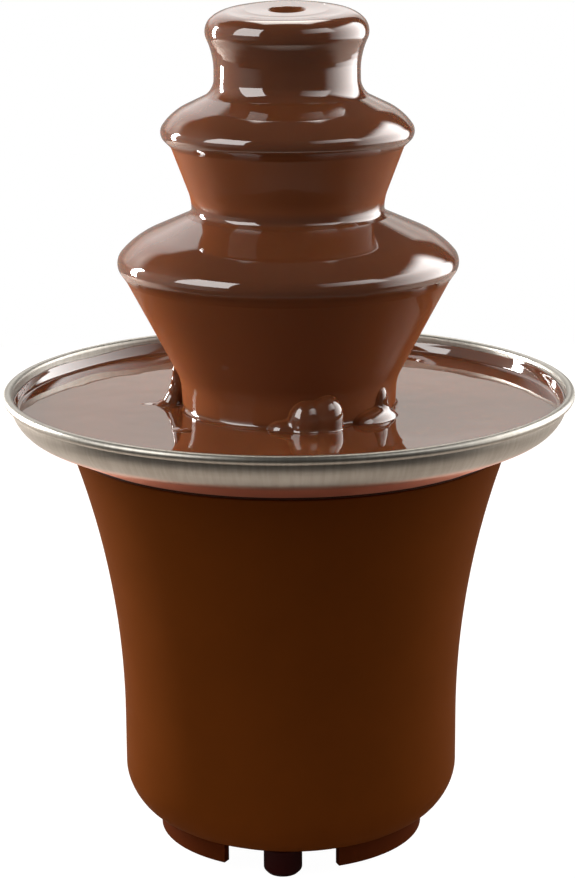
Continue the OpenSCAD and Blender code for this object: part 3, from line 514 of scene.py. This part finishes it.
class FOUNTAIN_OT_curtains(bpy.types.Operator):
    """Models the chocolate that runs over the three steps of the tower"""

    bl_idname = "fountain.curtains"
    bl_label = "Curtains"

    # The crown's top: degrees it leans to the front, its height, its lowest part and its radius
    lean_turn, lean_height, lean_above, lean_radius = 5.5, 313, 310.8, 17
    crown_reach = 13.0  # mm below and around its top over which the crown bends

    def execute(self, context):
        steps = context.scene.fountain_sizes.steps
        # Each outline runs down the outside of its curtain and back up the inside
        lower = lathe("lower_curtain", [
            (33.0, 240.9), (34.15, 240.9), (56.95, 230.9, 27), (63.55, 222.8, 5.3),
            (59.15, 216.6, 1.2), (39.8, 179.6, 14), (39.2, 167.4),
            (32.8, 167.4), (34.3, 171.7), (58.0, 217.2), (61.6, 222.7, 4),
            (56.2, 229.5, 24), (33.6, 239.5),
        ], steps=steps)
        settle(lower, "tower_lower", "chocolate", "chocolate_lower_flow")
        middle = lathe("middle_curtain", [
            (24.0, 284.1), (26.65, 284.1), (41.7, 276.9, 18), (47.1, 269.5, 4),
            (42.2, 264.8, 2.3), (34.9, 245.4, 16), (35.0, 241.2, 2.2), (37.4, 239.3),
            (34.0, 239.3), (33.9, 245.4), (41.0, 265.4), (45.4, 269.5, 3),
            (40.9, 275.8, 16), (26.0, 282.8), (24.0, 282.8),
        ], steps=steps)
        settle(middle, "tower_middle", "chocolate", "chocolate_middle_flow")
        crown = lathe("crown_curtain", [
            (15.5, 313.5), (24.6, 312.7, 9), (30.95, 307.1, 6.6), (26.3, 297.8, 24),
            (26.45, 284.3, 7), (30.2, 282.35),
            (28.2, 282.6), (25.5, 284.3), (25.0, 298.1), (29.1, 306.5, 5.2),
            (21.4, 311.4), (15.5, 311.6),
        ], fine=1.0, steps=steps)
        self.lean(crown, self.crown_reach)
        settle(crown, "tower_crown", "chocolate", "chocolate_crown_flow")
        # From the dimple in the middle out to the crown's edge, and back underneath
        well = lathe("well", [
            (0, 310.9), (3.6, 311.1, 1.2), (6.8, 313.1, 1.2), (10, 313.25, 6), (15.5, 313.49),
            (16.2, 313.3), (15.3, 313.1), (15.3, 310.3), (0, 310.3),
        ], fine=0.8, steps=steps)
        self.lean(well)
        settle(well, "auger", "chocolate", "chocolate_well")
        return {"FINISHED"}

    def lean(self, piece, reach=None):
        """Turns the top of the crown a little to the front, where the chocolate runs off."""
        alone(piece)
        bpy.ops.object.mode_set(mode="EDIT")
        above, radius = self.lean_above * MM, self.lean_radius * MM
        pick(piece, "VERT", lambda vert: vert.co.z > above and vert.co.xy.length < radius)
        bpy.ops.transform.rotate(
            value=-math.radians(self.lean_turn), orient_axis="X",
            center_override=(0, 0, self.lean_height * MM),
            use_proportional_edit=bool(reach), proportional_edit_falloff="SMOOTH",
            proportional_size=(reach or 1) * MM,
        )
        bpy.ops.object.mode_set(mode="OBJECT")


class FOUNTAIN_OT_pool(bpy.types.Operator):
    """Models the pool in the bowl, its film up the wall and the splash at the tower's foot"""

    bl_idname = "fountain.pool"
    bl_label = "Pool"

    ripple_radius = 97  # mm within which the pool ripples
    ripple_scale = 0.022  # metres
    # Where the film's edge climbs: degrees from the front, share of the rise, reach in mm
    climbs = ((118, 1.0, 60), (148, 0.6, 36), (-112, 0.5, 50), (-140, 0.7, 30))
    # Lumps that the splash is melted from: radius, degrees from the front, height above the pool,
    # and half sizes along, out and up, in mm
    lumps = (
        (39.0, 13.5, 2.5, 6.6, 6.4, 8.6),
        (39.2, 23.8, 3.5, 6.8, 6.8, 9.2),
        (38.4, 4.0, 0.0, 7.5, 5.0, 3.6),
        (41.0, -84.0, 13.0, 2.1, 2.1, 3.4),
        (41.2, -84.0, 9.0, 2.4, 2.4, 3.4),
        (41.8, -84.5, 5.5, 2.8, 2.8, 3.4),
        (42.8, -85.0, 2.0, 3.4, 3.4, 3.4),
        (44.6, -85.5, -0.3, 4.8, 4.8, 2.4),
        (51.0, -87.0, -1.0, 2.4, 6.0, 1.7),
        (38.6, 62.0, 4.0, 4.0, 3.4, 9.0),
        (38.6, 57.0, 0.0, 12.0, 6.0, 4.4),
        (54.5, -40.0, -0.7, 5.5, 3.4, 1.6),
    )

    def execute(self, context):
        sizes = context.scene.fountain_sizes
        level = sizes.pool_level / MM
        # Out over the pool, up the film and over its edge, and back along the bowl
        pool = lathe("pool", [
            (33.8, level), (99.9, level, 1.6), (100.75, level + 1.8), (101.0, level + 2.8),
            (101.35, level + 2.9), (101.15, level + 1.7), (100.55, level), (100.0, 167.9),
            (97.6, 165.2), (84.0, 159.0), (33.8, 159.0),
        ], fine=1.6, steps=sizes.steps)
        self.ripple(pool, level, sizes.ripple)
        self.raise_film(pool, level, sizes.film_rise)
        settle(pool, "base", "chocolate", "chocolate_pool")
        splash = self.splash(level, sizes)
        settle(splash, "base", "chocolate", sharp=180)
        return {"FINISHED"}

    def ripple(self, pool, level, height):
        """Stirs the flat of the pool into low ripples."""
        alone(pool)
        bpy.ops.object.mode_set(mode="EDIT")
        flat, radius = level * MM, self.ripple_radius * MM
        pick(
            pool, "VERT",
            lambda vert: abs(vert.co.z - flat) < MEETING and vert.co.xy.length < radius,
        )
        bpy.ops.object.vertex_group_add()
        bpy.ops.object.vertex_group_assign()
        bpy.ops.object.mode_set(mode="OBJECT")
        ripples = bpy.data.textures.new("ripples", "CLOUDS")
        ripples.noise_scale = self.ripple_scale
        modify(
            pool, "DISPLACE", texture=ripples, texture_coords="LOCAL", direction="Z",
            strength=height, mid_level=0.5, vertex_group=pool.vertex_groups[-1].name,
        )

    def raise_film(self, pool, level, rise):
        """Draws the film's edge up the wall at the back, with only that edge in sight."""
        alone(pool)
        bpy.ops.object.mode_set(mode="EDIT")
        edge = (level + 1.6) * MM
        pick(pool, "VERT", lambda vert: vert.co.z > edge)
        bpy.ops.mesh.hide(unselected=True)
        for angle, share, reach in self.climbs:
            middle = around(101.2, angle, level + 2.8)
            pick(pool, "VERT", lambda vert: (vert.co - middle).length < 2.2 * MM)
            lift = around(0.12, angle, 0) + Vector((0, 0, rise * share))
            bpy.ops.transform.translate(
                value=lift, use_proportional_edit=True, proportional_edit_falloff="SMOOTH",
                proportional_size=reach * MM,
            )
        bpy.ops.mesh.reveal(select=False)
        bpy.ops.object.mode_set(mode="OBJECT")

    def splash(self, level, sizes):
        """Melts the lumps into pool and curtain, and rounds the line where those two meet."""
        parts = [lathe("splash", [
            (60.0, level - 1.4), (56.0, level - 0.6), (38.5, level - 0.6, 2), (38.9, 178.5),
            (36.5, 178.5), (36.0, level - 0.6), (36.0, 164.0), (60.0, 164.0),
        ], fine=1.2, steps=sizes.steps)]
        for radius, angle, height, along, out, up in self.lumps:
            parts.append(begin(
                "lump", bpy.ops.mesh.primitive_uv_sphere_add, segments=40, ring_count=20,
                radius=MM, location=around(radius, angle, level + height),
                rotation=(0, 0, math.radians(angle)), scale=(along, out, up),
            ))
        splash = join(parts)
        modify(splash, "REMESH", mode="VOXEL", voxel_size=sizes.splash_grain)
        modify(splash, "SMOOTH", factor=0.5, iterations=24)
        meniscus = lathe("meniscus", [
            (45.2, level - 0.12), (39.15, level + 0.02, 1.8), (39.5, 176.0), (38.2, 176.0),
            (37.8, level), (37.8, 165.5), (45.2, 165.5),
        ], fine=0.8, steps=sizes.steps)
        return join([splash, meniscus])


class FOUNTAIN_OT_bowl(bpy.types.Operator):
    """Models the stainless bowl with its rolled rim"""

    bl_idname = "fountain.bowl"
    bl_label = "Bowl"

    # The rolled rim: its middle and its radius in mm, and the degrees between which it is round
    roll_at, roll_height, roll_radius = 103.3, 174.5, 1.7
    roll_turns = range(-118, 161, 9)

    def execute(self, context):
        turns = [math.radians(turn) for turn in self.roll_turns]
        roll = [(
            self.roll_at + self.roll_radius * math.cos(turn),
            self.roll_height + self.roll_radius * math.sin(turn),
        ) for turn in turns]
        # Out underneath, round the rim, and back inside
        bowl = lathe("bowl_skin", [
            (6.15, 150.5), (69.9, 150.5, 6), (102.5, 165.5, 12.6), *roll,
            (101.7, 174.6, 0.5), (101.7, 166.0, 11.8), (69.73, 151.3, 6.8), (6.15, 151.3),
        ], fine=4, steps=context.scene.fountain_sizes.steps)
        settle(bowl, "base", "stainless_bowl", "bowl")
        return {"FINISHED"}


class FOUNTAIN_OT_housing(bpy.types.Operator):
    """Models the flared shell of the base, with its openings at the back"""

    bl_idname = "fountain.housing"
    bl_label = "Housing"

    # The flare in mm: radius of the barrel, height where it begins, radius of its curve
    barrel_radius, flare_start, flare_curve = 62.8, 50.1, 315
    wall = 2.2
    flare_heights = tuple(154.9 - index * 5.24 for index in range(21))
    # Openings in mm, one for a flange and one through the wall
    switch_height = 59.8
    switch_boxes = ((24.2, 61.45, 70.0, 17.2), (20.8, 50.0, 66.0, 14.8))
    gland_height = 34.8
    gland_holes = ((7.5, 62.3, 70.0), (5.1, 54.0, 66.0))

    def flare(self, height, inset=0):
        """Corner of the flare's outline at a height, in mm."""
        curve, up = self.flare_curve, height - self.flare_start
        return (self.barrel_radius + curve - math.sqrt(curve ** 2 - up ** 2) - inset, height)

    def switch_cutters(self, angle):
        """Boxes for a switch: one for its flange, one through the wall for its case."""
        for width, near, far, height in self.switch_boxes:
            yield begin(
                "cutter", bpy.ops.mesh.primitive_cube_add, size=MM,
                location=around((near + far) / 2, angle, self.switch_height),
                rotation=(0, 0, math.radians(angle)), scale=(width, far - near, height),
            )

    def gland_cutters(self):
        """Cylinders for the gland: one for its flange, one through the wall for its barrel."""
        for radius, near, far in self.gland_holes:
            yield begin(
                "cutter", bpy.ops.mesh.primitive_cylinder_add, vertices=64, radius=radius * MM,
                depth=(far - near) * MM,
                location=around((near + far) / 2, 180, self.gland_height),
                rotation=(math.radians(90), 0, 0),
            )

    def execute(self, context):
        top, *outer = [self.flare(height) for height in self.flare_heights]
        inner = [self.flare(height, self.wall) for height in self.flare_heights[:0:-1]]
        # Down the outside from the edge under the bowl, and back up inside
        shell = lathe("housing_shell", [
            (78.6, 153.9, 0.4), (*top, 0.6), *outer, (self.barrel_radius, 20.2, 18.6),
            (51.2, 12.8, 0.4), (46.2, 12.8), (46.2, 15.0), (52.0, 15.0), (60.6, 20.9, 15), *inner,
        ], fine=6, steps=context.scene.fountain_sizes.steps)
        cut_away(shell, [
            *self.switch_cutters(162), *self.switch_cutters(198), *self.gland_cutters(),
        ])
        settle(shell, "base", "brown_plastic", "housing")
        return {"FINISHED"}


class FOUNTAIN_OT_feet(bpy.types.Operator):
    """Models one soft foot and copies it to its three places"""

    bl_idname = "fountain.feet"
    bl_label = "Feet"

    places = {"front": 0, "right": 120, "left": -120}  # degrees from the front
    ring_radius = 39.5

    def execute(self, context):
        pattern = lathe("foot_pattern", [
            (0, 0.0), (5.6, 0.0, 0.6), (7.15, 1.6, 1.6), (7.15, 10.5, 0.5), (2.1, 10.5),
            (2.1, 4.0), (0, 4.0),
        ], steps=96)
        for name, angle in self.places.items():
            alone(pattern)
            bpy.ops.object.duplicate()
            foot = context.object
            foot.name = foot.data.name = f"{name}_foot_skin"
            bpy.ops.transform.translate(value=around(self.ring_radius, angle, 0))
            bpy.ops.object.transform_apply(location=True)
            settle(foot, f"{name}_foot", "foot_rubber", f"foot_{name}")
        remove(pattern)
        return {"FINISHED"}


class FOUNTAIN_OT_stage(bpy.types.Operator):
    """Sets the floor, the lamps, the surroundings and the camera"""

    bl_idname = "fountain.stage"
    bl_label = "Stage"

    white = (1, 1, 1, 1)
    # The floor's colours near the fountain and in front of it, to light and reflections
    floor_near, floor_far = (0.7, 0.62, 0.56, 1), (0.05, 0.047, 0.044, 1)
    floor_glow, floor_glow_share = 1.2, 0.82  # to the camera alone

    lamp_distance = 1000  # mm
    lamp_white = (1, 0.98, 0.96)
    # Degrees round from the camera, then width, lowest and highest edge and soft edge in metres,
    # then the brightness at the side with the fewest degrees and at the one with the most
    lamps = {
        "right_panel": (48, 1.10, 0.62, 1.50, 0.15, 0.4, 3.2),
        "right_lamp": (100, 1.90, -0.2, 1.25, 0.30, 0.4, 7.5),
        "left_lamp": (-59, 0.76, 0.38, 1.35, 0.02, 4.8, 4.8),
        "left_strip": (-122, 0.13, 0.08, 0.66, 0.01, 95.0, 95.0),
        "back_panel": (-168, 1.08, 0.42, 1.22, 0.15, 1.8, 1.2),
    }

    # Brightness around: low and high on the wall behind, overhead, at the left, and everywhere
    wall_low, wall_high, overhead, left, everywhere = 0.3, 0.85, 5.0, 0.35, 0.06
    warmth = (0.95, 0.89)  # green and blue of that light for each part of red

    # The camera: degrees round from the front, distance and height in mm, degrees of tilt down,
    # of aim to the side and of roll, and its focal length in pixels of the image's height
    camera_turn, camera_distance, camera_height = 4.6, 900, 386.6
    camera_tilt, camera_aim, camera_roll = 14.42, 0.04, -0.33
    focal_pixels, image_height, sensor_height = 2503.4, 879, 36.0

    def execute(self, context):
        self.floor()
        for name, look in self.lamps.items():
            self.lamp(name, *look)
        self.surroundings(context.scene)
        self.camera(context.scene)
        return {"FINISHED"}

    def floor(self):
        """A round floor that is white to the camera and takes the fountain's shadow."""
        floor = begin(
            "floor", bpy.ops.mesh.primitive_circle_add, vertices=96, radius=0.9, fill_type="NGON"
        )
        recipe = material("floor_white", (0.9, 0.9, 0.9, 1))
        seen = recipe.seen()
        _, (x, y, _) = recipe.place()
        away = recipe.smooth((x * x + y * y) ** 0.5, 0.2, 0.32)
        far = away * recipe.smooth(y, 0.1, -0.2, 0.35, 1.0) * (1 - seen)
        pale = recipe.blend(far, self.floor_near, self.floor_far)
        matt = recipe.node("ShaderNodeBsdfDiffuse", inputs={"Color": pale})
        light = {"Color": self.white, "Strength": self.floor_glow}
        glow = recipe.node("ShaderNodeEmission", inputs=light)
        recipe.mix(seen * self.floor_glow_share, matt, glow)
        dress(floor.data, "floor_white")

    def lamp(self, name, turn, width, low, high, soft, first, last):
        """An upright panel that shines on the fountain, with soft edges and a clear back."""
        angle, height = turn + self.camera_turn, high - low
        panel = begin(name, bpy.ops.mesh.primitive_plane_add, size=1)
        panel.scale = (width, height, 1)  # a new plane takes no scale of its own
        panel.rotation_euler = (math.radians(-90), 0, math.radians(angle))
        panel.location = around(self.lamp_distance, angle, (low + high) / 2 / MM)
        bpy.ops.object.transform_apply(location=True, rotation=True, scale=True)
        recipe = material(name, self.white)
        across, down, _ = recipe.split(recipe.node("ShaderNodeTexCoord", output="UV"))
        front = 1.0 - recipe.node("ShaderNodeNewGeometry", output="Backfacing")
        for part, fade in ((across, soft / width), (down, soft / height)):
            front = front * recipe.band(part, 0.0, fade, 1.0 - fade, 1.0)
        sides = [shade(self.lamp_white, side, side, side) for side in (first, last)]
        light = recipe.blend(recipe.smooth(across, 0.0, 1.0), *sides)
        clear = recipe.node("ShaderNodeBsdfTransparent")
        glow = recipe.node("ShaderNodeEmission", inputs={"Color": light})
        recipe.mix(front, clear, glow)
        dress(panel.data, name)
        panel.visible_camera = False

    def surroundings(self, scene):
        """White to the camera; to the fountain a pale wall behind, a patch overhead, else dim."""
        world = bpy.data.worlds.new("studio")
        world.use_nodes = True
        scene.world = world
        recipe = Recipe(world.node_tree)
        smooth = recipe.smooth
        right, back, up = recipe.split(recipe.node("ShaderNodeTexCoord", output="Generated"))
        right = right + 0.08 * back  # as the camera sees it
        level = smooth(up, 0.08, 0.2, self.wall_low, self.wall_high)
        wall = smooth(back, 0.1, 0.5) * (level + smooth(up, 0.28, 0.46, 0.0, self.wall_high))
        wall = wall * smooth(up + 1.8 * right, 0.97, 0.82) * smooth(up - 0.5 * right, 0.84, 0.68)
        patch = smooth(up - 1.2 * right * right, 0.58, 0.66) * smooth(up, 0.955, 0.9)
        patch = patch * smooth(right * right, 0.065, 0.025)
        wall = wall + smooth(back, 0.1, 0.3) * patch * self.overhead
        light = wall + smooth(right, -0.55, -0.95, 0.0, self.left) + self.everywhere
        green, blue = (light * part for part in self.warmth)
        sky = recipe.blend(recipe.seen(), recipe.combine(light, green, blue), self.white)
        shown = recipe.node("ShaderNodeBackground", inputs={"Color": sky})
        recipe.node("ShaderNodeOutputWorld", inputs={"Surface": shown})

    def camera(self, scene):
        """The camera at the photograph's viewing angle."""
        bpy.ops.object.select_all(action="DESELECT")
        bpy.ops.object.camera_add()
        camera = bpy.context.object
        camera.name = camera.data.name = "photo_camera"
        camera.data.sensor_fit = "VERTICAL"
        camera.data.sensor_height = self.sensor_height
        camera.data.lens = self.focal_pixels / self.image_height * self.sensor_height
        camera.data.clip_start = 0.05
        camera.location = around(self.camera_distance, self.camera_turn, self.camera_height)
        camera.rotation_euler = (
            math.radians(90 - self.camera_tilt), 0, math.radians(self.camera_turn + self.camera_aim)
        )
        camera.rotation_euler.rotate_axis("Z", math.radians(self.camera_roll))
        scene.camera = camera
        scene.view_settings.view_transform = "Standard"


# Panel and registration

OPERATORS = (
    FOUNTAIN_OT_finishes,
    FOUNTAIN_OT_curtains,
    FOUNTAIN_OT_pool,
    FOUNTAIN_OT_bowl,
    FOUNTAIN_OT_housing,
    FOUNTAIN_OT_feet,
    FOUNTAIN_OT_stage,
)


class FOUNTAIN_PT_panel(bpy.types.Panel):
    """Lists the settings and steps of the fountain"""

    bl_idname = "FOUNTAIN_PT_panel"
    bl_label = "Chocolate fountain"
    bl_space_type = "VIEW_3D"
    bl_region_type = "UI"
    bl_category = "Fountain"

    def draw(self, context):
        for group in (context.scene.fountain_sizes, context.scene.fountain_colours):
            for name in group.bl_rna.properties.keys():
                if name not in ("rna_type", "name"):
                    self.layout.prop(group, name)
        for operator in OPERATORS:
            self.layout.operator(operator.bl_idname)


CLASSES = (FountainSizes, FountainColours, *OPERATORS, FOUNTAIN_PT_panel)


def register():
    for item in CLASSES:
        bpy.utils.register_class(item)
    bpy.types.Scene.fountain_sizes = PointerProperty(type=FountainSizes)
    bpy.types.Scene.fountain_colours = PointerProperty(type=FountainColours)


def unregister():
    del bpy.types.Scene.fountain_colours
    del bpy.types.Scene.fountain_sizes
    for item in reversed(CLASSES):
        bpy.utils.unregister_class(item)


def main():
    register()
    bpy.ops.fountain.finishes()
    bpy.ops.fountain.curtains()
    bpy.ops.fountain.pool()
    bpy.ops.fountain.bowl()
    bpy.ops.fountain.housing()
    bpy.ops.fountain.feet()
    bpy.ops.fountain.stage()


if __name__ == "__main__":
    main()
